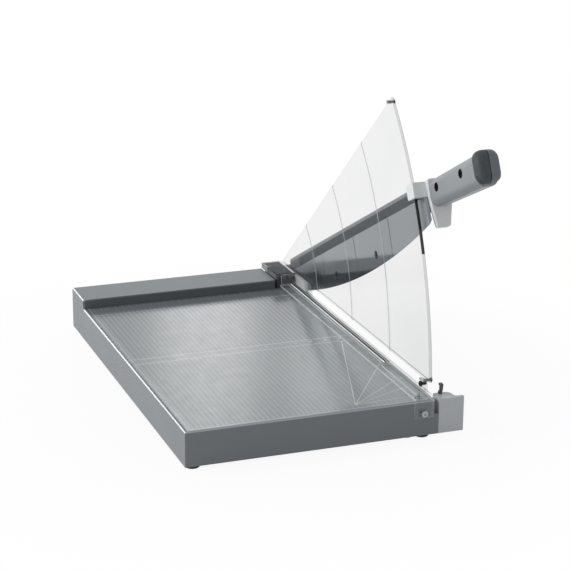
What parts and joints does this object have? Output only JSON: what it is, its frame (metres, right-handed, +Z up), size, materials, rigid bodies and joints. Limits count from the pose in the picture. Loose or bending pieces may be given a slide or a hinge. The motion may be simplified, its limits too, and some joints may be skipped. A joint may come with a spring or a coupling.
{
  "type": "paper cutter",
  "caption": "Lever paper cutter with a grey ruled tray, a clear sector guard, a clear clamp bar and a raised curved blade arm with a grey grip",
  "frame": {"origin": "below the middle of the whole object's outer extents with the arm as drawn, on the surface that the four feet stand on", "axes": "x to the right towards the blade side, y from the front to the back ledge, z up"},
  "size_m": [0.3464, 0.6154, 0.382],
  "materials": {
    "grey_paint": "satin grey powder coat",
    "printed_plate": "glossy grey laminate with fine printed lines",
    "grey_plastic": "fine matt moulding",
    "dark_sheet": "dark grey sheet steel",
    "dark_plastic": "dark grey matt moulding",
    "bright_steel": "zinc plated steel",
    "ground_steel": "ground tool steel",
    "light_plastic": "light grey matt moulding",
    "dark_casting": "dark grey coated casting",
    "brass": "plain turned brass",
    "black_rubber": "matt black rubber",
    "clear_sheet": "clear polished acrylic",
    "black_steel": "blackened steel",
    "grey_casting": "satin grey coated casting",
    "white_plastic": "off-white matt moulding",
    "grip_plastic": "grey matt moulding",
    "soft_rubber": "dark grey soft rubber"
  },
  "bodies": {
    "base": {"tray_frame": "grey_paint", "work_plate": "printed_plate", "cross_ribs": "grey_plastic", "floor_sheet": "dark_sheet", "floor_screws": "bright_steel", "back_ledge": "grey_plastic", "ledge_screws": "bright_steel", "paper_stop": "dark_plastic", "bed_knife": "ground_steel", "bed_knife_screws": "bright_steel", "end_block": "light_plastic", "end_block_screws": "bright_steel", "front_guide": "dark_plastic", "pivot_block": "dark_casting", "pivot_block_screws": "bright_steel", "pivot_bolt": "bright_steel", "thrust_washer": "brass", "spring_washer": "bright_steel", "pivot_nut": "bright_steel", "rubber_feet": "black_rubber", "foot_screws": "bright_steel", "flap_screw": "bright_steel", "latch_pin": "bright_steel", "front_spring": "bright_steel", "rear_spring": "bright_steel"},
    "clamp": {"clamp_bar": "clear_sheet", "clamp_box": "clear_sheet", "box_screws": "bright_steel", "guide_pins": "bright_steel", "guard_shield": "clear_sheet", "guard_bracket": "clear_sheet", "guard_screws": "black_steel", "rim_stops": "clear_sheet", "rim_stop_screws": "black_steel"},
    "arm": {"arm_beam": "grey_casting", "pivot_bush": "brass", "latch_stud": "bright_steel", "blade": "ground_steel", "blade_screws": "black_steel", "hilt_collar": "white_plastic", "grip_left": "grip_plastic", "grip_right": "grip_plastic", "grip_screws": "black_steel", "grip_end_cap": "soft_rubber"},
    "latch": {"latch_lever": "dark_plastic"}
  },
  "joints": [
    {"name": "arm_hinge", "type": "hinge", "parent": "base", "child": "arm", "pos_m": [0.13685, 0.28574, 0.0419], "axis": [-1, 0, 0], "range_deg": [-24.3, 12.2]},
    {"name": "clamp_slide", "type": "slide", "parent": "base", "child": "clamp", "axis": [0, 0, 1], "range_m": [-0.0026, 0.0013], "deforming": ["front_spring", "rear_spring"]},
    {"name": "latch_hinge", "type": "hinge", "parent": "base", "child": "latch", "pos_m": [0.14965, -0.20426, 0.0315], "axis": [-1, 0, 0], "range_deg": [0, 20]}
  ],
  "couplings": [
    {"joint": "clamp_slide", "follows": "arm_hinge", "m_per_rad": 0.00592}
  ]
}
